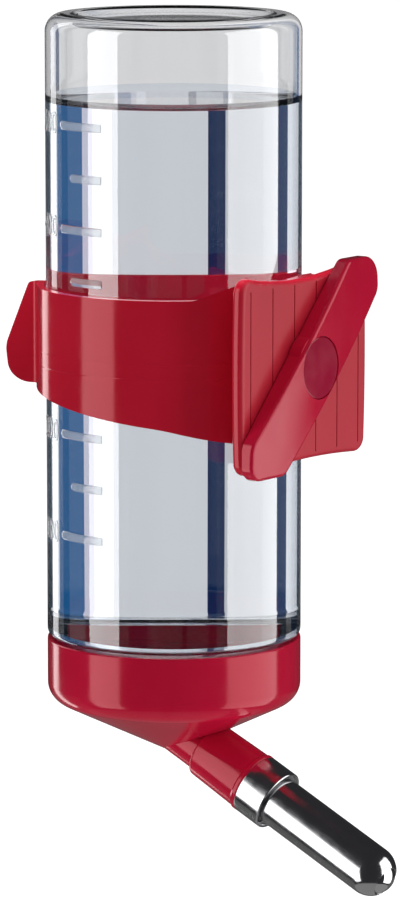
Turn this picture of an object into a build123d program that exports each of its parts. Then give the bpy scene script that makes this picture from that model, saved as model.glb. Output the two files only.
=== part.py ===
"""Hanging water bottle for a rabbit hutch: inverted bottle, screw cap with ball nozzle, and a clip.

The clip snaps round the bottle and carries a flat plate and a spring-loaded turning wing. The cage
wires are gripped between the two. Units are millimetres, +Z is up. The origin is the centre of the
plate's front face and -Y points into the cage.
"""
import os
from math import cos, degrees, radians, sin

from build123d import *

os.makedirs("parts", exist_ok=True)

# clearances: between fitted pieces that face each other, and round close ones
GAP, FIT = 0.05, 0.03

# bottle: closed end up, neck down
BOTTLE_R = 35.0
WALL = 1.3
BASE_Z = 93.3                  # flat closed end
BASE_ROUND = 4.8
PUNT_R, PUNT_DEPTH = 27.0, 1.6  # the shallow hollow in the closed end
PUNT_SLOPE = 2.0               # how much narrower the hollow is at its floor
SHOULDER_Z = -78.0             # where the body turns in to the neck
SHOULDER_ROUND = 2.0
NECK_R, NECK_BORE_R = 29.4, 27.4
MOUTH_Z = -91.0
AXIS_Y = 43.5                  # from the plate's front face to the bottle's axis

# volume scale, raised on the -X side of the bottle
SCALE_TOP_Z, SCALE_PITCH, SCALE_STEPS = 64.4, 13.97, 9
SCALE_START = -88.0            # degrees from the plate's normal, where every mark starts
LONG_MARK, SHORT_MARK, MARK_HEIGHT = 16.5, 11.5, 2.3
MARK_LINE, MARK_RELIEF = 0.5, 0.25
RIDGE_ROOT = 0.3               # how far a mark or a thread ridge reaches into its wall

# screw thread between neck and cap: two ridges of one pitch, half a pitch apart
THREAD_PITCH, THREAD_TURNS, THREAD_DEPTH = 5.0, 1.3, 1.3
THREAD_FOOT, THREAD_CREST = 2.0, 1.0
THREAD_Z = -87.2

# cap
CAP_R, CAP_BORE_R = 35.0, 31.1
CAP_RIM_Z, CAP_SEAT_Z = -78.5, -93.3
CAP_CORNER_Z, CAP_ROUND = -95.0, 6.0
APEX_Z = -112.0
APEX_WALL = 2.2                # the cone's wall at its apex, straight up
GASKET_BORE_R, GASKET_R = 26.6, 30.9

# spout, measured along its own axis from where that axis crosses the bottle's
SPOUT_Z, SPOUT_DIP = -103.9, 26.2
STUB_R, SPIGOT_R, WATERWAY_R = 7.0, 5.7, 4.6
SLEEVE_START, SLEEVE_END = 12.7, 30.4
SLEEVE_R, SLEEVE_END_R = 8.1, 8.5
SPIGOT_END, WEB_END = 22.0, 24.0
COPE_GAP = 0.06                # between the sleeve and the cone that it meets
SEAL = 1.4
COLLAR_END, COLLAR_R, COLLAR_WALL, COLLAR_RECESS = 39.0, 8.75, 0.7, 1.6
TUBE_R, TUBE_WALL, DOME_CENTRE, TIP_HOLE_R = 7.0, 0.5, 73.0, 4.5
SEAT_START, SEAT_END, SEAT_HOLE_R = 63.5, 66.5, 3.4
TIP_BALL_R, UPPER_BALL_R = 5.2, 4.7
BALL_PLAY = 0.15

# clip: open band, two finger ears, plate
BAND_R, BAND_OUTER_R = 35.5, 37.7
EAR_ANGLE, EAR_THICK, EAR_R = 154.7, 2.4, 47.2
EAR_ROOT = 1.8                 # radius where an ear leaves the band
BAND_TOP, BAND_BOTTOM = 19.2, -8.9
PLATE_W, PLATE_H, PLATE_T = 60.3, 54.0, 3.6
PLATE_TOP_SAG, PLATE_BOTTOM_SAG, PLATE_BULGE, PLATE_CORNER = 3.2, 1.5, 0.7, 4.0
PLATE_FRONT_ROUND, PLATE_BACK_ROUND = 1.5, 1.3
GROOVE_PITCH, GROOVE_COUNT, GROOVE_W = 10.3, 6, 0.4
GROOVE_Z, GROOVE_LENGTH = -0.6, 46.6
SADDLE_W = 32.0
# the band from the side, as (y, z, corner radius): deep at the plate, an ear at the far end
BAND_SIDE = [
    (1.5, 22.8),
    (10.5, 22.8, 2.5),
    (17.0, BAND_TOP, 6),
    (79.4, BAND_TOP, 1.2),
    (85.4, 1.5, 9),
    (84.4, -8.6, 6),
    (77.6, -8.9, 2),
    (73.0, BAND_BOTTOM, 3),
    (24.0, -15.6, 40),
    (8.0, -20.5, 4),
    (1.5, -20.5),
]

# clamp: wing, axle with a disc head, spring, washer and retaining ring
WING_REACH_X, WING_REACH_Z, WING_HALF = 30.3, 27.6, 12.5
WING_FRONT, WING_GAP, WING_SHELL = 5.2, 0.3, 1.8
WING_DOME_R, WING_HOLLOW = 450.0, 1.9  # the front face's slight dome, and the depth cored out behind
DISC_R, DISC_T, DISC_SUNK = 8.45, 1.3, 0.25
AXLE_R, AXLE_END = 3.0, 7.8
RUNNING = 0.06                 # radial clearance of the axle in the plate
POCKET_R, POCKET_FLOOR = 7.2, 1.4
SPRING_WIRE, SPRING_R, SPRING_TURNS = 0.5, 5.0, 3.0
WASHER_FRONT, WASHER_T, WASHER_R = 5.95, 0.8, 6.6
RING_T, RING_R, RING_GROOVE_R = 0.6, 4.3, 2.4

BOTTLE_AXIS = Location((0, AXIS_Y, 0))
SPOUT = Plane(
    origin=(0, AXIS_Y, SPOUT_Z),
    x_dir=(1, 0, 0),
    z_dir=(0, -cos(radians(SPOUT_DIP)), -sin(radians(SPOUT_DIP))),
).location
OUTWARD = Plane(origin=(0, 0, 0), x_dir=(1, 0, 0), z_dir=(0, -1, 0)).location


def outline(*corners):
    """A closed flat outline. A corner's third number is the radius that rounds it."""
    face = make_face(Polyline(*[corner[:2] for corner in corners], close=True))
    for x, y, radius in [corner for corner in corners if len(corner) == 3]:
        nearest = face.vertices().sort_by_distance((x, y, 0))[0]
        face = fillet(nearest, radius)
    return face


def spin(*corners):
    """A round solid from an outline of (radius, height) corners, turned about its own Z axis."""
    return revolve(Plane.XZ * outline(*corners), Axis.Z)


def disc(radius, low, high):
    """A plain cylinder about its own Z axis between two heights."""
    return Pos(0, 0, (low + high) / 2) * Cylinder(radius, high - low)


def ring(inner, outer, low, high):
    return disc(outer, low, high) - disc(inner, low - 1, high + 1)


def thread(root_r, crest_r, start_z):
    """One helical ridge with a trapezoid section, from its root radius to its crest radius."""
    path = Helix(pitch=THREAD_PITCH, height=THREAD_TURNS * THREAD_PITCH, radius=root_r)
    rise = crest_r - root_r
    section = outline(
        (0, -THREAD_FOOT / 2), (rise, -THREAD_CREST / 2), (rise, THREAD_CREST / 2), (0, THREAD_FOOT / 2)
    )
    start = Plane(origin=path @ 0, x_dir=(1, 0, 0), z_dir=path % 0)
    return Pos(0, 0, start_z) * sweep(start * section, path=path, is_frenet=True)


def mark(z, length):
    """One raised scale mark: the outline of a bar, following the bottle's surface."""
    middle = SCALE_START - degrees(length / BOTTLE_R) / 2
    bar = Box(BOTTLE_R, length, MARK_HEIGHT)
    bar -= Box(BOTTLE_R + 1, length - 2 * MARK_LINE, MARK_HEIGHT - 2 * MARK_LINE)
    skin = ring(BOTTLE_R - RIDGE_ROOT, BOTTLE_R + MARK_RELIEF, z - MARK_HEIGHT, z + MARK_HEIGHT)
    return Rot(0, 0, middle - 90) * Pos(BOTTLE_R, 0, z) * bar & skin


def bottle():
    outside = spin(
        (0, BASE_Z),
        (BOTTLE_R, BASE_Z, BASE_ROUND),
        (BOTTLE_R, SHOULDER_Z, SHOULDER_ROUND),
        (NECK_R, SHOULDER_Z, 0.8),
        (NECK_R, MOUTH_Z, 0.4),
        (0, MOUTH_Z),
    )
    inner_r = BOTTLE_R - WALL
    inside = spin(
        (0, BASE_Z - WALL),
        (inner_r, BASE_Z - WALL, BASE_ROUND - WALL),
        (inner_r, SHOULDER_Z + WALL, SHOULDER_ROUND - WALL),
        (NECK_BORE_R, SHOULDER_Z + WALL, 1.5),
        (NECK_BORE_R, MOUTH_Z - 1),
        (0, MOUTH_Z - 1),
    )
    hollow_z = BASE_Z - PUNT_DEPTH
    punt_top = spin(
        (0, BASE_Z + 1), (PUNT_R, BASE_Z + 1), (PUNT_R - PUNT_SLOPE, hollow_z), (0, hollow_z)
    )
    punt_under = spin(
        (0, BASE_Z - WALL + 0.5),
        (PUNT_R - PUNT_SLOPE + 3, BASE_Z - WALL + 0.5),
        (PUNT_R - PUNT_SLOPE + 1, hollow_z - WALL),
        (0, hollow_z - WALL),
    )
    body = outside + thread(NECK_R - RIDGE_ROOT, NECK_R + THREAD_DEPTH, THREAD_Z)
    body = body - (inside - punt_under) - punt_top
    for step in range(SCALE_STEPS):
        length = LONG_MARK if step % 2 == 0 else SHORT_MARK
        body += mark(SCALE_TOP_Z - step * SCALE_PITCH, length)
    return BOTTLE_AXIS * body


def cap_form():
    """The cap's outer form, filled: a drum that closes in a cone."""
    return BOTTLE_AXIS * spin(
        (0, CAP_RIM_Z), (CAP_R, CAP_RIM_Z, 0.6), (CAP_R, CAP_CORNER_Z, CAP_ROUND), (0, APEX_Z)
    )


def cap():
    outside = cap_form()
    outside += SPOUT * disc(STUB_R, -2, SLEEVE_START)
    outside += SPOUT * disc(SPIGOT_R, SLEEVE_START - 1, SPIGOT_END)
    slope = (CAP_CORNER_Z - APEX_Z) / CAP_R
    inner_apex = APEX_Z + APEX_WALL
    inside = spin(
        (0, CAP_RIM_Z + 1),
        (CAP_BORE_R, CAP_RIM_Z + 1),
        (CAP_BORE_R, CAP_SEAT_Z),
        (GASKET_BORE_R, CAP_SEAT_Z),
        (GASKET_BORE_R, inner_apex + GASKET_BORE_R * slope),
        (0, inner_apex),
    )
    waterway = SPOUT * disc(WATERWAY_R, 0, SPIGOT_END + 1)
    ridge = thread(CAP_BORE_R + RIDGE_ROOT, CAP_BORE_R - THREAD_DEPTH, THREAD_Z - THREAD_PITCH / 2)
    return outside - BOTTLE_AXIS * inside - waterway + BOTTLE_AXIS * ridge


def cap_gasket():
    return BOTTLE_AXIS * ring(GASKET_BORE_R + 0.3, GASKET_R, CAP_SEAT_Z + FIT, MOUTH_Z - 0.1)


def spout_sleeve():
    """Socket pushed on the cap's spigot, its upper side cut to meet the cap's cone."""
    body = spin(
        (0, SLEEVE_START + GAP),
        (SLEEVE_R, SLEEVE_START + GAP, 0.9),
        (SLEEVE_END_R, SLEEVE_END - 1.6),
        (SLEEVE_END_R + 0.3, SLEEVE_END - 1.1),
        (SLEEVE_END_R + 0.3, SLEEVE_END, 0.3),
        (0, SLEEVE_END),
    )
    body -= disc(SPIGOT_R + FIT, SLEEVE_START - 1, SPIGOT_END + 0.2)
    body -= disc(WATERWAY_R, SPIGOT_END - 1, WEB_END + 1)
    body -= disc(TUBE_R + FIT, WEB_END, SLEEVE_END + 1)
    return SPOUT * body - Pos(0, 0, -COPE_GAP) * cap_form()


def spout_seal():
    return SPOUT * ring(TUBE_R - 1.9, TUBE_R - GAP, WEB_END + FIT, WEB_END + SEAL)


def nozzle_collar():
    """Steel ferrule round the tube: a thin shell whose far rim is rolled in to a sunk web."""
    inner_r = COLLAR_R - COLLAR_WALL
    web = COLLAR_END - COLLAR_RECESS
    return SPOUT * spin(
        (inner_r, SLEEVE_END + GAP),
        (COLLAR_R, SLEEVE_END + GAP, 0.25),
        (COLLAR_R, COLLAR_END, 0.34),
        (inner_r, COLLAR_END, 0.34),
        (inner_r, web, 0.3),
        (TUBE_R + GAP, web),
        (TUBE_R + GAP, web - COLLAR_WALL),
        (inner_r, web - COLLAR_WALL, 0.3),
    )


def nozzle_tube():
    start = WEB_END + SEAL + GAP
    inner_r = TUBE_R - TUBE_WALL
    outside = disc(TUBE_R, start, DOME_CENTRE) + Pos(0, 0, DOME_CENTRE) * Sphere(TUBE_R)
    inside = disc(inner_r, start - 1, DOME_CENTRE) + Pos(0, 0, DOME_CENTRE) * Sphere(inner_r)
    return SPOUT * (outside - inside - disc(TIP_HOLE_R, DOME_CENTRE, DOME_CENTRE + 2 * TUBE_R))


def ball_on_ring(ball_r, ring_r, ring_at):
    """A ball resting against the rim of a round hole, a hair's play short of touching it."""
    back = (ball_r**2 - ring_r**2) ** 0.5
    return SPOUT * Pos(0, 0, ring_at - back - BALL_PLAY) * Sphere(ball_r)


def tip_ball():
    inner_r = TUBE_R - TUBE_WALL
    rim = DOME_CENTRE + (inner_r**2 - TIP_HOLE_R**2) ** 0.5
    return ball_on_ring(TIP_BALL_R, TIP_HOLE_R, rim)


def upper_ball():
    return ball_on_ring(UPPER_BALL_R, SEAT_HOLE_R, SEAT_START)


def valve_seat():
    return SPOUT * ring(SEAT_HOLE_R, TUBE_R - TUBE_WALL - FIT, SEAT_START, SEAT_END)


def plate():
    half_w, half_h = PLATE_W / 2, PLATE_H / 2
    edge_w = half_w - PLATE_BULGE
    top = ThreePointArc((-edge_w, half_h), (0, half_h - PLATE_TOP_SAG), (edge_w, half_h))
    right = ThreePointArc((edge_w, half_h), (half_w, 0), (edge_w, -half_h))
    bottom = ThreePointArc((edge_w, -half_h), (0, PLATE_BOTTOM_SAG - half_h), (-edge_w, -half_h))
    left = ThreePointArc((-edge_w, -half_h), (-half_w, 0), (-edge_w, half_h))
    face = make_face([top, right, bottom, left])
    face = fillet(face.vertices(), PLATE_CORNER)
    slab = Plane.XZ * extrude(face, -PLATE_T)
    slab = fillet(slab.faces().sort_by(Axis.Y)[0].edges(), PLATE_FRONT_ROUND)
    slab = fillet(slab.faces().sort_by(Axis.Y)[-1].edges(), PLATE_BACK_ROUND)
    for number in range(GROOVE_COUNT):
        x = (number - (GROOVE_COUNT - 1) / 2) * GROOVE_PITCH
        slab -= Pos(x, 0, GROOVE_Z) * Box(GROOVE_W, 2 * GROOVE_W, GROOVE_LENGTH)
    return slab


def band():
    """The open band with its ears and the saddle behind the plate, cut to its side outline."""
    gap = radians(180 - EAR_ANGLE - 1.8)
    ear_middle = (BAND_R + EAR_R) / 2 + 0.5
    hoop = Circle(BAND_OUTER_R)
    ears = [
        Rot(0, 0, side * EAR_ANGLE - 90) * Pos(ear_middle, 0) * Rectangle(EAR_R - BAND_R, EAR_THICK)
        for side in (-1, 1)
    ]
    plan = hoop + ears
    inner_corners = [v for v in plan.vertices() if abs((v.X**2 + v.Y**2) ** 0.5 - BAND_OUTER_R) < 0.05]
    plan = fillet(inner_corners, EAR_ROOT)
    saddle_back = (BAND_OUTER_R**2 - (SADDLE_W / 2) ** 2) ** 0.5 - 2
    saddle_depth = AXIS_Y - PLATE_T + 0.5 - saddle_back
    plan += Pos(0, -saddle_back - saddle_depth / 2) * Rectangle(SADDLE_W, saddle_depth)
    reach = 60
    mouth_x, mouth_y = reach * sin(gap), reach * cos(gap)
    mouth = outline((0, 0), (mouth_x, mouth_y), (-mouth_x, mouth_y))
    plan = plan - Circle(BAND_R) - mouth
    solid = BOTTLE_AXIS * Pos(0, 0, -reach) * extrude(plan, 2 * reach)
    side = outline(*BAND_SIDE)
    return solid & (Plane.YZ * Pos(0, 0, -reach) * extrude(side, 2 * reach))


def clip_body():
    body = band() + plate()
    body -= OUTWARD * disc(AXLE_R + RUNNING, -POCKET_FLOOR - 1, 1)
    body -= OUTWARD * disc(POCKET_R, -12, -POCKET_FLOOR)
    return body


def clamp_wing():
    low = WING_HALF - WING_REACH_Z
    high = WING_REACH_X - WING_HALF
    face = outline(
        (-low, WING_REACH_Z, 4), (WING_REACH_X, WING_REACH_Z, 6), (WING_REACH_X, high, 5),
        (low, -WING_REACH_Z, 4), (-WING_REACH_X, -WING_REACH_Z, 4.5), (-WING_REACH_X, -high, 5),
    )
    depth = WING_FRONT - WING_GAP
    body = extrude(face, depth) & Pos(0, 0, depth - WING_DOME_R) * Sphere(WING_DOME_R)
    body = fillet(body.faces().sort_by(Axis.Z)[-1].edges(), 1.0)
    body -= extrude(offset(face, -WING_SHELL, kind=Kind.INTERSECTION), WING_HOLLOW)
    body += disc(DISC_R + 1.0, 0, depth - 1)
    body = Pos(0, 0, WING_GAP) * body
    body -= disc(DISC_R + 0.1, WING_FRONT - DISC_T - DISC_SUNK, WING_FRONT + 1)
    body -= disc(AXLE_R + FIT, 0, WING_FRONT)
    return OUTWARD * body


def wing_axle():
    head_top = WING_FRONT - DISC_SUNK
    head_under = head_top - DISC_T + FIT
    head = spin((0, head_top), (DISC_R, head_top, 0.35), (DISC_R, head_under), (0, head_under))
    shank = disc(AXLE_R, -AXLE_END, head_top - 0.5)
    groove_at = -(WASHER_FRONT + WASHER_T + GAP)
    groove = ring(RING_GROOVE_R, AXLE_R + 1, groove_at - RING_T - GAP, groove_at)
    return OUTWARD * (head + shank - groove)


def spring_washer():
    return OUTWARD * ring(AXLE_R + RUNNING, WASHER_R, -WASHER_FRONT - WASHER_T, -WASHER_FRONT)


def retaining_ring():
    near = -(WASHER_FRONT + WASHER_T + 0.06)
    body = ring(RING_GROOVE_R + FIT, RING_R, near - RING_T, near)
    body -= Pos(0, -RING_R, near - RING_T / 2) * Box(2 * RING_GROOVE_R - 1, 2 * RING_R, 2)
    return OUTWARD * body


def clamp_spring():
    """Compression spring between the pocket's floor and the washer."""
    start = POCKET_FLOOR + SPRING_WIRE / 2 + GAP
    travel = WASHER_FRONT - SPRING_WIRE / 2 - GAP - start
    path = Helix(pitch=travel / SPRING_TURNS, height=travel, radius=SPRING_R)
    section = Plane(origin=path @ 0, z_dir=path % 0) * Circle(SPRING_WIRE / 2)
    coil = sweep(section, path=path, is_frenet=True)
    return Plane(origin=(0, start, 0), x_dir=(1, 0, 0), z_dir=(0, 1, 0)).location * coil


NODES = [
    bottle, cap, cap_gasket, spout_sleeve, spout_seal, nozzle_collar, nozzle_tube, valve_seat,
    upper_ball, tip_ball, clip_body, clamp_wing, wing_axle, spring_washer, retaining_ring, clamp_spring,
]

for make in NODES:
    export_step(make(), f"parts/{make.__name__}.step")
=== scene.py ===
from math import cos, pi, radians, sin, tan

import bpy
import bmesh
from mathutils import Matrix, Vector


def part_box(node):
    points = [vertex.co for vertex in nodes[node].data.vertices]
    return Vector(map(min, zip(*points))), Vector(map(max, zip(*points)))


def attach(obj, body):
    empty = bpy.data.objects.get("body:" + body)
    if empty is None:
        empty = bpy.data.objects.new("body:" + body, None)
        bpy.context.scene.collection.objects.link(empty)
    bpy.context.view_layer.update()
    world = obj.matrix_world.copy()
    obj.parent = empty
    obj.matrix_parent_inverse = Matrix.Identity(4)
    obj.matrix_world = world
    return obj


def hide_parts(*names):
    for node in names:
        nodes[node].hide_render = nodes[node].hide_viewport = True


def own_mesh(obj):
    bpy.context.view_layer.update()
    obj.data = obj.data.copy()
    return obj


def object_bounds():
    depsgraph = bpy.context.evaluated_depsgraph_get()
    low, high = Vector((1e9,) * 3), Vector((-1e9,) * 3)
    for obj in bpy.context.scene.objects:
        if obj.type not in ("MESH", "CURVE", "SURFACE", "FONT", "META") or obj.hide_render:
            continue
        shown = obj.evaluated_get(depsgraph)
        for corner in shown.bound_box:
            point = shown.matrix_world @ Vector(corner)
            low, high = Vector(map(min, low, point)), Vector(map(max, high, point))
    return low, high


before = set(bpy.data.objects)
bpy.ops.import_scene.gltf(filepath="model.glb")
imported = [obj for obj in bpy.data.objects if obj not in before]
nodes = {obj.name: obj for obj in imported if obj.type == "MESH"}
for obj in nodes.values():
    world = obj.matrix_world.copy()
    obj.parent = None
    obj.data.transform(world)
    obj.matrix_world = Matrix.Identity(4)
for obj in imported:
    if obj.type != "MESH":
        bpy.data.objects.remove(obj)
cad_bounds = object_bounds()

MM = 0.001
bottle_low, bottle_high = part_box("bottle")
AXIS = Vector((0, (bottle_low.y + bottle_high.y) / 2, 0))
CLEAR_IOR, WATER_IOR = 1.5, 1.333
RIB_HALF = 1.8 * MM            # half the height of the faint rib round the clip's band

# ---------------------------------------------------------------- materials


class Shader:
    """A Principled material under construction, with short calls for the nodes it needs."""

    def __init__(self, name, color, roughness, metallic=0.0):
        self.material = bpy.data.materials.new(name)
        self.material.use_nodes = True
        self.nodes = self.material.node_tree.nodes
        self.links = self.material.node_tree.links
        self.bsdf = self.nodes["Principled BSDF"]
        self.set("Base Color", (*color, 1.0))
        self.set("Roughness", roughness)
        self.set("Metallic", metallic)
        self.place = self.nodes.new("ShaderNodeTexCoord").outputs["Object"]

    def set(self, socket, value):
        self.bsdf.inputs[socket].default_value = value

    def red_gloss(self):
        """Tints the highlights red, as the photo shows them. Real plastic's highlights take the light's colour."""
        self.set("IOR", 1.49)
        self.set("Specular IOR Level", 0.8)
        self.set("Specular Tint", (1.0, 0.42, 0.44, 1.0))

    def link(self, source, socket):
        self.links.new(source, self.bsdf.inputs[socket])

    def stretched(self, scale):
        mapping = self.nodes.new("ShaderNodeMapping")
        mapping.inputs["Scale"].default_value = scale
        self.links.new(self.place, mapping.inputs["Vector"])
        return mapping.outputs["Vector"]

    def noise(self, scale, detail=3.0, stretch=(1, 1, 1), roughness=0.5):
        texture = self.nodes.new("ShaderNodeTexNoise")
        texture.inputs["Scale"].default_value = scale
        texture.inputs["Detail"].default_value = detail
        texture.inputs["Roughness"].default_value = roughness
        self.links.new(self.stretched(stretch), texture.inputs["Vector"])
        return texture.outputs["Fac"]

    def ramp(self, source, *stops):
        """Maps a 0 to 1 value through (position, color) stops."""
        node = self.nodes.new("ShaderNodeValToRGB")
        for _ in stops[2:]:
            node.color_ramp.elements.new(0.5)
        for element, (position, color) in zip(node.color_ramp.elements, stops):
            element.position = position
            element.color = (*color, 1.0)
        self.links.new(source, node.inputs["Fac"])
        return node.outputs["Color"]

    def span(self, source, low, high):
        """Maps a 0 to 1 value to the range low to high."""
        node = self.nodes.new("ShaderNodeMapRange")
        node.inputs["From Min"].default_value = 0.3
        node.inputs["From Max"].default_value = 0.7
        node.inputs["To Min"].default_value = low
        node.inputs["To Max"].default_value = high
        self.links.new(source, node.inputs["Value"])
        return node.outputs["Result"]

    def math(self, operation, *values):
        node = self.nodes.new("ShaderNodeMath")
        node.operation = operation
        for socket, value in zip(node.inputs, values):
            if isinstance(value, (int, float)):
                socket.default_value = value
            else:
                self.links.new(value, socket)
        return node.outputs[0]

    def step(self, source, low_end, high_end):
        """Falls smoothly from 1 at high_end to 0 at low_end, or rises where low_end is the smaller."""
        node = self.nodes.new("ShaderNodeMapRange")
        node.interpolation_type = "SMOOTHSTEP"
        node.inputs["From Min"].default_value = low_end
        node.inputs["From Max"].default_value = high_end
        self.links.new(source, node.inputs["Value"])
        return node.outputs["Result"]

    def bump(self, *layers):
        """Stacks (height source, strength, distance in metres) layers into the normal."""
        normal = None
        for source, strength, distance in layers:
            node = self.nodes.new("ShaderNodeBump")
            node.inputs["Strength"].default_value = strength
            node.inputs["Distance"].default_value = distance
            self.links.new(source, node.inputs["Height"])
            if normal:
                self.links.new(normal, node.inputs["Normal"])
            normal = node.outputs["Normal"]
        self.link(normal, "Normal")


def red_plastic(name, flow, light=0.355):
    """Gloss moulded crimson: slight colour drift along the flow, faint ripple, fine handling marks."""
    s = Shader(name, (light, 0.005, 0.024), 0.14)
    dark, bright = (0.8 * light, 0.003, 0.018), (light, 0.005, 0.026)
    s.link(s.ramp(s.noise(38, 2, flow), (0.3, dark), (0.7, bright)), "Base Color")
    s.link(s.span(s.noise(160, 4, flow), 0.09, 0.17), "Roughness")
    s.bump((s.noise(55, 1), 0.12, 0.0004), (s.noise(2400, 2), 0.03, 0.00004))
    s.red_gloss()
    return s.material


def clip_plastic():
    """The same crimson, with a satin moulded face on the plate and a faint rib round the band."""
    s = Shader("clip_red", (0.335, 0.006, 0.019), 0.14)
    dark, bright = (0.29, 0.005, 0.016), (0.355, 0.007, 0.021)
    s.link(s.ramp(s.noise(38, 2, (1, 1, 0.4)), (0.3, dark), (0.7, bright)), "Base Color")
    axes = s.nodes.new("ShaderNodeSeparateXYZ")
    s.links.new(s.place, axes.inputs["Vector"])
    on_face = s.step(axes.outputs["Y"], 1.2 * MM, 0.4 * MM)
    gloss = s.span(s.noise(160, 4), 0.09, 0.15)
    s.link(s.math("ADD", gloss, s.math("MULTIPLY", on_face, 0.24)), "Roughness")
    height = s.math("ABSOLUTE", axes.outputs["Z"])
    off_plate = s.step(axes.outputs["Y"], 8 * MM, 9 * MM)
    rib = s.math("MULTIPLY", s.step(height, RIB_HALF + 0.3 * MM, RIB_HALF), off_plate)
    s.bump((s.noise(55, 1), 0.12, 0.0004), (s.noise(2400, 2), 0.03, 0.00004), (rib, 0.5, 0.0001))
    s.red_gloss()
    return s.material


def clear_plastic():
    s = Shader("clear_plastic", (0.985, 0.99, 1.0), 0.0)
    s.set("Transmission Weight", 1.0)
    s.set("IOR", CLEAR_IOR)
    s.bump((s.noise(30, 1, (1, 1, 0.35)), 0.01, 0.0004),)
    s.link(s.span(s.noise(220, 3), 0.0, 0.008), "Roughness")
    return s.material


def relief_plastic():
    """The raised scale: the same clear plastic, slightly hazed where the mould was etched."""
    s = Shader("scale_relief", (0.92, 0.94, 0.95), 0.12)
    s.set("Transmission Weight", 0.87)
    s.set("IOR", CLEAR_IOR)
    s.link(s.span(s.noise(1500, 2), 0.05, 0.2), "Roughness")
    s.bump((s.noise(1200, 2), 0.2, 0.0001),)
    return s.material


def water():
    s = Shader("water", (0.88, 0.92, 0.97), 0.0)
    s.set("Transmission Weight", 1.0)
    s.set("IOR", WATER_IOR)
    s.bump((s.noise(12, 1, (1, 1, 0.3)), 0.03, 0.0005),)
    return s.material


def steel(name, color, low, high, stretch):
    """Polished stainless: fine drawing lines and a slight grey drift."""
    s = Shader(name, color, low, 1.0)
    darker = tuple(0.9 * c for c in color)
    s.link(s.ramp(s.noise(60, 3), (0.3, darker), (0.7, color)), "Base Color")
    s.link(s.span(s.noise(300, 5, stretch), low, high), "Roughness")
    s.bump((s.noise(420, 4, stretch), 0.04, 0.00005),)
    return s.material


def rubber():
    s = Shader("seal_rubber", (0.62, 0.6, 0.57), 0.55)
    s.link(s.ramp(s.noise(500, 4), (0.3, (0.56, 0.54, 0.5)), (0.7, (0.66, 0.64, 0.61))), "Base Color")
    s.link(s.span(s.noise(700, 3), 0.45, 0.65), "Roughness")
    s.bump((s.noise(1800, 3), 0.2, 0.00008),)
    return s.material


def white_plastic():
    s = Shader("white_plastic", (0.8, 0.8, 0.77), 0.35)
    s.link(s.ramp(s.noise(200, 2), (0.3, (0.76, 0.76, 0.73)), (0.7, (0.83, 0.83, 0.81))), "Base Color")
    s.link(s.span(s.noise(900, 3), 0.28, 0.42), "Roughness")
    s.bump((s.noise(2200, 2), 0.08, 0.00004),)
    return s.material


CLEAR = clear_plastic()
RELIEF = relief_plastic()
WATER = water()
CLIP_RED = clip_plastic()
WING_RED = red_plastic("wing_red", (1, 1, 0.4))
# the axle's head: the same crimson with a darker base colour, painted shade for the dimmer reflection on its disc
AXLE_SHADED_RED = red_plastic("axle_red_painted_shade", (1, 1, 1), 0.23)
CAP_RED = red_plastic("cap_red", (1, 1, 0.6))
POLISHED = steel("polished_steel", (0.70, 0.70, 0.71), 0.1, 0.17, (1, 1, 1))
BALL = steel("ball_steel", (0.8, 0.8, 0.81), 0.03, 0.06, (1, 1, 1))
SPRING = steel("spring_steel", (0.55, 0.55, 0.56), 0.2, 0.34, (1, 6, 1))
RUBBER = rubber()
WHITE = white_plastic()

NODE_MATERIALS = {
    "cap": CAP_RED,
    "spout_sleeve": CAP_RED,
    "clip_body": CLIP_RED,
    "clamp_wing": WING_RED,
    "wing_axle": AXLE_SHADED_RED,
    "nozzle_collar": POLISHED,
    "nozzle_tube": POLISHED,
    "upper_ball": BALL,
    "tip_ball": BALL,
    "valve_seat": WHITE,
    "cap_gasket": RUBBER,
    "spout_seal": RUBBER,
    "clamp_spring": SPRING,
    "spring_washer": SPRING,
    "retaining_ring": SPRING,
    "bottle": CLEAR,
}
for name, material in NODE_MATERIALS.items():
    nodes[name].data.materials.clear()
    nodes[name].data.materials.append(material)

# ---------------------------------------------------------------- mesh helpers


def new_object(name, mesh, material, body):
    obj = bpy.data.objects.new(name, mesh)
    bpy.context.scene.collection.objects.link(obj)
    obj.data.materials.append(material)
    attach(obj, body)
    return obj


def rounded(corners, steps=8):
    """Points of an outline of (r, z) or (r, z, radius) corners, with each radius drawn as an arc."""
    points = []
    for index, corner in enumerate(corners):
        if len(corner) == 2:
            points.append(corner)
            continue
        here = Vector(corner[:2])
        before = (Vector(corners[index - 1][:2]) - here).normalized()
        after = (Vector(corners[(index + 1) % len(corners)][:2]) - here).normalized()
        half = before.angle(after) / 2
        reach = corner[2] / tan(half)
        centre = here + (before + after).normalized() * corner[2] / sin(half)
        first, last = here + before * reach - centre, here + after * reach - centre
        turn = last.angle_signed(first)
        for step in range(steps + 1):
            points.append(tuple(centre + Matrix.Rotation(turn * step / steps, 2) @ first))
    return points


def held(points, hold=0.4 * MM):
    """Adds a point near each end of a long straight run, so smooth shading stays true along it."""
    result = [points[0]]
    for first, last in zip(map(Vector, points), map(Vector, points[1:])):
        length = (last - first).length
        if length > 4 * hold:
            result += [tuple(first.lerp(last, hold / length)), tuple(last.lerp(first, hold / length))]
        result.append(tuple(last))
    return result


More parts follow.
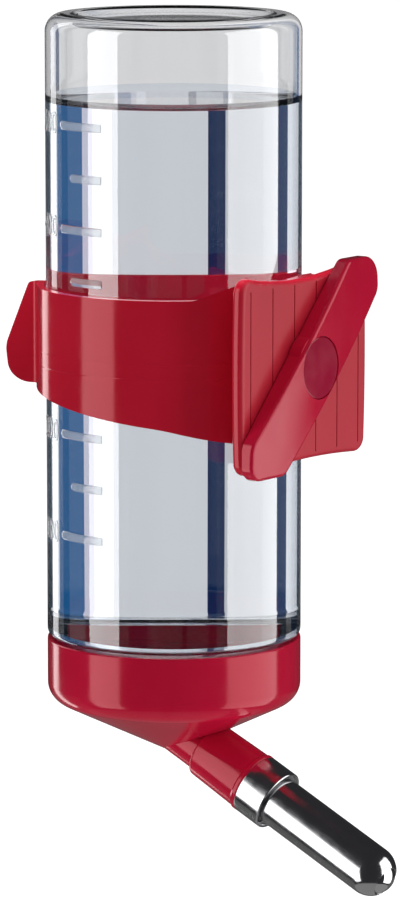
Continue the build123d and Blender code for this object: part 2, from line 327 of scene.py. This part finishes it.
def lathe(name, points, segments=192, closed=True):
    """A smooth round mesh from (r, z) points, about the bottle's axis. Points at r = 0 meet in one vertex."""
    points = held(points)
    bm = bmesh.new()
    turns = [2 * pi * k / segments for k in range(segments)]
    rows = []
    for r, z in points:
        if r < 1e-7:
            rows.append([bm.verts.new((AXIS.x, AXIS.y, z))] * segments)
            continue
        rows.append([bm.verts.new((AXIS.x + r * sin(turn), AXIS.y - r * cos(turn), z)) for turn in turns])
    pairs = list(zip(rows, rows[1:]))
    if closed:
        pairs.append((rows[-1], rows[0]))
    for lower, upper in pairs:
        for k in range(segments):
            n = (k + 1) % segments
            corner = []
            for vert in (lower[k], lower[n], upper[n], upper[k]):
                if vert not in corner:
                    corner.append(vert)
            if len(corner) > 2:
                bm.faces.new(corner)
    bmesh.ops.recalc_face_normals(bm, faces=bm.faces)
    mesh = bpy.data.meshes.new(name)
    bm.to_mesh(mesh)
    bm.free()
    mesh.shade_smooth()
    mesh.set_sharp_from_angle(angle=radians(35))
    return mesh

# ---------------------------------------------------------------- bottle and water
# The same sizes as the CAD bottle, redrawn finely enough to refract cleanly.

WALL = 1.3 * MM
BASE_Z, MOUTH_Z = bottle_high.z, bottle_low.z
SHOULDER_Z = MOUTH_Z + 13.0 * MM
NECK_R, NECK_BORE_R = 29.4 * MM, 27.4 * MM
BASE_ROUND, SHOULDER_ROUND = 4.8 * MM, 2.0 * MM
PUNT_R, PUNT_DEPTH = 27.0 * MM, 1.6 * MM
BODY_R = 35.0 * MM
INNER_R = BODY_R - WALL
WATER_Z = BASE_Z - 24.0 * MM
WATER_LAP = 0.03 * MM          # how far the water reaches into the wall, so no air film shows


def bottle_shell():
    under_punt = BASE_Z - WALL - PUNT_DEPTH
    outline = rounded([
        (0, BASE_Z - PUNT_DEPTH),
        (PUNT_R - 2 * MM, BASE_Z - PUNT_DEPTH, 1.2 * MM),
        (PUNT_R, BASE_Z, 1.2 * MM),
        (BODY_R, BASE_Z, BASE_ROUND),
        (BODY_R, SHOULDER_Z, SHOULDER_ROUND),
        (NECK_R, SHOULDER_Z, 0.8 * MM),
        (NECK_R, MOUTH_Z, 0.4 * MM),
        (NECK_BORE_R, MOUTH_Z, 0.4 * MM),
        (NECK_BORE_R, SHOULDER_Z + WALL, 0.8 * MM),
        (INNER_R, SHOULDER_Z + WALL, SHOULDER_ROUND - WALL),
        (INNER_R, BASE_Z - WALL, BASE_ROUND - WALL),
        (PUNT_R + 0.6 * MM, BASE_Z - WALL, 1.2 * MM),
        (PUNT_R - 1.4 * MM, under_punt, 1.2 * MM),
        (0, under_punt),
    ])
    mesh = lathe("bottle_shell", outline, closed=False)
    shell = new_object("bottle_shell", mesh, CLEAR, "bottle")
    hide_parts("bottle")
    return shell


def water_body():
    """Water up to its level, with the small rise where it wets the wall."""
    r = INNER_R + WATER_LAP
    outline = rounded([
        (0, WATER_Z),
        (r - 3 * MM, WATER_Z),
        (r - 1.5 * MM, WATER_Z + 0.2 * MM),
        (r - 0.5 * MM, WATER_Z + 0.9 * MM),
        (r, WATER_Z + 2.0 * MM),
        (r, SHOULDER_Z + WALL - WATER_LAP, SHOULDER_ROUND - WALL),
        (NECK_BORE_R + WATER_LAP, SHOULDER_Z + WALL - WATER_LAP, 0.8 * MM),
        (NECK_BORE_R + WATER_LAP, MOUTH_Z + 0.6 * MM),
        (0, MOUTH_Z + 0.6 * MM),
    ])
    return new_object("water", lathe("water", outline, closed=False), WATER, "bottle")


SCALE_TOP_Z, SCALE_PITCH, SCALE_STEPS = 64.4 * MM, 13.97 * MM, 9
MARK_START = radians(-88)      # from the plate's normal, where every mark has its squared end
LONG_MARK, SHORT_MARK, MARK_HALF = 16.5 * MM, 11.5 * MM, 1.15 * MM
RELIEF_HEIGHT, RELIEF_ROOT, MARK_SLOPE = 0.25 * MM, -0.04 * MM, 0.4 * MM
BLUNT_TIP = 0.25               # the rounded end's least half-height, as a share of the mark's
NUMERAL_HEIGHT, NUMERAL_START = 5.8 * MM, radians(-138)
CAP_HEIGHT = 0.69              # a numeral's height as a share of the font's size


def on_wall(along, z, height):
    """A point on the bottle's outer wall, from an angle to the plate's normal, a level and a height."""
    r = BODY_R + height
    return AXIS + Vector((r * sin(along), -r * cos(along), z))


def scale_marks():
    """Raised bars with one rounded and one squared end, long ones at each numeral."""
    bm = bmesh.new()
    columns = 40
    for step in range(SCALE_STEPS):
        length = LONG_MARK if step % 2 == 0 else SHORT_MARK
        level = SCALE_TOP_Z - step * SCALE_PITCH
        rows = []
        for column in range(columns + 1):
            reach = length * (column / columns) ** 0.8
            left = max(length - reach, 0.0)
            tip = min(left / MARK_HALF, 1.0)
            half = MARK_HALF * max(BLUNT_TIP, (1 - (1 - tip) ** 2) ** 0.5)
            along = MARK_START - reach / BODY_R
            crown = max(half - MARK_SLOPE, 0.3 * half)
            section = [(-half, RELIEF_ROOT), (-half, 0.1 * RELIEF_HEIGHT), (-crown, RELIEF_HEIGHT),
                       (crown, RELIEF_HEIGHT), (half, 0.1 * RELIEF_HEIGHT), (half, RELIEF_ROOT)]
            rows.append([bm.verts.new(on_wall(along, level + v, h)) for v, h in section])
        for first, last in zip(rows, rows[1:]):
            for k in range(6):
                n = (k + 1) % 6
                bm.faces.new((first[k], first[n], last[n], last[k]))
        bm.faces.new(rows[0])
        bm.faces.new(rows[-1])
    bmesh.ops.recalc_face_normals(bm, faces=bm.faces)
    mesh = bpy.data.meshes.new("scale_marks")
    bm.to_mesh(mesh)
    bm.free()
    mesh.shade_smooth()
    mesh.set_sharp_from_angle(angle=radians(50))
    return new_object("scale_marks", mesh, RELIEF, "bottle")


def scale_numbers():
    """Raised numerals beside the long marks, wrapped on the wall."""
    bm = bmesh.new()
    for step in range(0, SCALE_STEPS, 2):
        curve = bpy.data.curves.new("numeral", "FONT")
        curve.body = str(500 - 50 * step)
        curve.size = NUMERAL_HEIGHT / CAP_HEIGHT
        curve.extrude = RELIEF_HEIGHT / 2
        curve.align_y = "CENTER"
        source = bpy.data.objects.new("numeral", curve)
        bpy.context.scene.collection.objects.link(source)
        bpy.context.view_layer.update()
        flat = bpy.data.meshes.new_from_object(source)
        for vert in flat.vertices:
            x, y, height = vert.co
            top = RELIEF_HEIGHT if height > 0 else RELIEF_ROOT
            vert.co = on_wall(NUMERAL_START + x / BODY_R, SCALE_TOP_Z - step * SCALE_PITCH + y, top)
        bm.from_mesh(flat)
        bpy.data.objects.remove(source)
        bpy.data.curves.remove(curve)
        bpy.data.meshes.remove(flat)
    mesh = bpy.data.meshes.new("scale_numbers")
    bm.to_mesh(mesh)
    bm.free()
    return new_object("scale_numbers", mesh, RELIEF, "bottle")


CLEAR_PIECES = [bottle_shell(), water_body(), scale_marks(), scale_numbers()]

# ---------------------------------------------------------------- clamp spring
# The CAD spring redrawn as a coil with a mesh of its own, between its pocket and the washer.

COIL_R, WIRE_R, COIL_TURNS = 5.0 * MM, 0.25 * MM, 3
COIL_STEPS, WIRE_SIDES = 340, 12


def clamp_coil():
    low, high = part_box("clamp_spring")
    first, last = low.y + WIRE_R, high.y - WIRE_R
    around = [2 * pi * k / WIRE_SIDES for k in range(WIRE_SIDES)]
    bm = bmesh.new()
    rings = []
    for step in range(COIL_STEPS + 1):
        turn = 2 * pi * COIL_TURNS * step / COIL_STEPS
        out = Vector((cos(turn), 0, sin(turn)))
        centre = out * COIL_R + Vector((0, first + (last - first) * step / COIL_STEPS, 0))
        section = [WIRE_R * (out * cos(angle) + Vector((0, sin(angle), 0))) for angle in around]
        rings.append([bm.verts.new(centre + offset) for offset in section])
    for near, far in zip(rings, rings[1:]):
        for k in range(WIRE_SIDES):
            n = (k + 1) % WIRE_SIDES
            bm.faces.new((near[k], near[n], far[n], far[k]))
    bm.faces.new(rings[0])
    bm.faces.new(rings[-1])
    bmesh.ops.recalc_face_normals(bm, faces=bm.faces)
    mesh = bpy.data.meshes.new("clamp_coil")
    bm.to_mesh(mesh)
    bm.free()
    mesh.shade_smooth()
    coil = new_object("clamp_coil", mesh, SPRING, "clip")
    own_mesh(coil)
    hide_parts("clamp_spring")


clamp_coil()

# ---------------------------------------------------------------- camera and studio

VIEW_AZIMUTH, VIEW_ELEVATION, VIEW_DISTANCE = radians(-54.7), radians(9.17), 1.337
IMAGE_HEIGHT, PIXELS_PER_METRE, SENSOR = 898, 3635, 36.0
RIGHT = Vector((cos(VIEW_AZIMUTH), sin(VIEW_AZIMUTH), 0))
TOWARDS = Vector((sin(VIEW_AZIMUTH), -cos(VIEW_AZIMUTH), 0))


def camera():
    data = bpy.data.cameras.new("camera")
    data.sensor_width = SENSOR
    data.lens = SENSOR * VIEW_DISTANCE * PIXELS_PER_METRE / IMAGE_HEIGHT
    obj = bpy.data.objects.new("camera", data)
    bpy.context.scene.collection.objects.link(obj)
    target = AXIS + Vector((0, 0, -26.6 * MM)) + RIGHT * 7.3 * MM
    back = TOWARDS * cos(VIEW_ELEVATION) + Vector((0, 0, sin(VIEW_ELEVATION)))
    obj.location = target + back * VIEW_DISTANCE
    obj.rotation_euler = (-back).to_track_quat("-Z", "Y").to_euler()
    bpy.context.scene.camera = obj


def softbox(name, bearing, elevation, distance, width, height, radiance, only=None):
    """A rectangular light. Its bearing is in degrees to the camera's right, seen from the bottle.

    With only, it lights just those pieces, and nothing else shades them from it.
    """
    turn, rise = radians(bearing), radians(elevation)
    level = TOWARDS * cos(turn) + RIGHT * sin(turn)
    out = level * cos(rise) + Vector((0, 0, sin(rise)))
    light = bpy.data.lights.new(name, "AREA")
    light.shape = "RECTANGLE"
    light.size, light.size_y = width, height
    light.energy = radiance * pi * width * height
    obj = bpy.data.objects.new(name, light)
    bpy.context.scene.collection.objects.link(obj)
    obj.location = AXIS + out * distance
    obj.rotation_euler = out.to_track_quat("Z", "Y").to_euler()
    obj.visible_transmission = False
    obj.visible_camera = False
    if only:
        group = bpy.data.collections.new(name + "_only")
        for piece in only:
            group.objects.link(piece)
        obj.light_linking.receiver_collection = group
        obj.light_linking.blocker_collection = group
    return obj


def studio():
    """Soft lights round the bottle. The ones above and below it show in no reflection."""
    softbox("wide_front", 77.3, -2, 1.0, 1.08, 1.7, 2.2)
    softbox("strip_left", -65.5, -2, 1.0, 0.56, 1.7, 2.6)
    softbox("strip_back", -135, -2, 1.0, 0.22, 1.7, 3.0)
    overhead = softbox("overhead", 20, 75, 1.2, 1.2, 1.2, 1.5)
    bounce = softbox("bounce", -30, -78, 1.0, 1.0, 0.8, 2.6)
    overhead.visible_glossy = bounce.visible_glossy = False
    softbox("clear_left", -65.5, -2, 1.0, 0.56, 1.7, 6.0, CLEAR_PIECES[:1])
    softbox("clear_right", 77.3, -2, 1.0, 1.08, 1.7, 4.5, CLEAR_PIECES[:1])
    band_fill = softbox("band_fill", 0, 84, 0.14, 0.07, 0.07, 22, [nodes["clip_body"]])
    band_fill.visible_glossy = False


WHITE_CARD = (1.05, 1.05, 1.05)
SWEEP = (0.75, 0.75, 0.75)
DIM_SWEEP = (0.62, 0.62, 0.62)
LAVENDER = (0.70, 0.67, 0.76)
NAVY = (0.002, 0.018, 0.075)
SLATE = (0.035, 0.06, 0.14)
BLUE = (0.012, 0.11, 0.29)
EDGE = (0.02, 0.045, 0.065)
# the sweep's colours by bearing, in degrees right of straight behind the bottle; the half behind repeats them
CARDS = [
    (-90, SWEEP), (-68, EDGE), (-57, WHITE_CARD), (-40.4, SLATE), (-32.4, DIM_SWEEP),
    (-12.2, NAVY), (-8.2, SWEEP), (13.9, WHITE_CARD), (19.7, LAVENDER), (24.5, BLUE),
    (41.5, WHITE_CARD), (53, EDGE), (68, SWEEP),
]
RETURNED_LOSS = 0.75           # how much darker the cards are to light thrown back out of the bottle's front


def sweep_world():
    world = bpy.data.worlds.new("studio")
    bpy.context.scene.world = world
    world.use_nodes = True
    tree = world.node_tree
    add, link = tree.nodes.new, tree.links.new
    background = tree.nodes["Background"]

    def math(operation, *values):
        node = add("ShaderNodeMath")
        node.operation = operation
        for socket, value in zip(node.inputs, values):
            if isinstance(value, (int, float)):
                socket.default_value = value
            else:
                link(value, socket)
        return node.outputs[0]

    def dot(vector):
        node = add("ShaderNodeVectorMath")
        node.operation = "DOT_PRODUCT"
        node.inputs[1].default_value = vector
        link(direction, node.inputs[0])
        return node.outputs["Value"]

    def mix(factor, first, second):
        node = add("ShaderNodeMix")
        node.data_type = "RGBA"
        link(factor, node.inputs["Factor"])
        for socket, value in ((node.inputs[6], first), (node.inputs[7], second)):
            if isinstance(value, tuple):
                socket.default_value = (*value, 1)
            else:
                link(value, socket)
        return node.outputs[2]

    direction = add("ShaderNodeTexCoord").outputs["Generated"]
    bearing = math("ARCTAN2", dot(RIGHT), dot(-TOWARDS))
    half_turn = math("ADD", math("DIVIDE", bearing, pi), 0.5)
    ramp = add("ShaderNodeValToRGB")
    ramp.color_ramp.interpolation = "CONSTANT"
    link(math("FRACT", half_turn), ramp.inputs["Fac"])
    for _ in CARDS[2:]:
        ramp.color_ramp.elements.new(0.5)
    for element, (edge, color) in zip(ramp.color_ramp.elements, CARDS):
        element.position = (edge + 90) / 180
        element.color = (*color, 1)
    path = add("ShaderNodeLightPath")
    rearward = math("GREATER_THAN", dot(-TOWARDS), 0.15)
    downward = math("GREATER_THAN", dot((0, 0, -1)), 0.3)
    beneath = math("GREATER_THAN", dot((0, 0, -1)), 0.72)
    mirrored = mix(math("MULTIPLY", rearward, downward), (0.03, 0.03, 0.033), (0.12, 0.12, 0.12))
    mirrored = mix(beneath, mirrored, (0.26, 0.26, 0.26))
    frontward = math("GREATER_THAN", dot(TOWARDS), 0.0)
    returned = math("MULTIPLY", frontward, math("GREATER_THAN", path.outputs["Glossy Depth"], 0.5))
    cards = mix(math("MULTIPLY", returned, RETURNED_LOSS), ramp.outputs["Color"], (0.0, 0.0, 0.0))
    seen = mix(path.outputs["Is Transmission Ray"], mirrored, cards)
    inside = math("GREATER_THAN", path.outputs["Diffuse Depth"], 0.5)
    seen = mix(inside, seen, (2.6, 2.6, 2.6))
    seen = mix(path.outputs["Is Diffuse Ray"], seen, (0.45, 0.45, 0.45))
    link(mix(path.outputs["Is Camera Ray"], seen, (1, 1, 1)), background.inputs["Color"])


def floor():
    bm = bmesh.new()
    half, z = 6.0, cad_bounds[0][2] - 0.25
    bm.faces.new([bm.verts.new((x * half, y * half, z)) for x, y in ((-1, -1), (1, -1), (1, 1), (-1, 1))])
    mesh = bpy.data.meshes.new("floor")
    bm.to_mesh(mesh)
    bm.free()
    obj = bpy.data.objects.new("floor", mesh)
    bpy.context.scene.collection.objects.link(obj)
    material = bpy.data.materials.new("floor")
    material.use_nodes = True
    shader = material.node_tree.nodes["Principled BSDF"]
    shader.inputs["Base Color"].default_value = (0.8, 0.8, 0.8, 1)
    shader.inputs["Emission Color"].default_value = (1, 1, 1, 1)
    shader.inputs["Emission Strength"].default_value = 0.8
    mesh.materials.append(material)
    obj.visible_glossy = obj.visible_transmission = obj.visible_diffuse = obj.visible_shadow = False


camera()
studio()
sweep_world()
floor()
scene = bpy.context.scene
scene.view_settings.view_transform = "Standard"
scene.cycles.max_bounces = 24
scene.cycles.transmission_bounces = 24
scene.cycles.glossy_bounces = 8
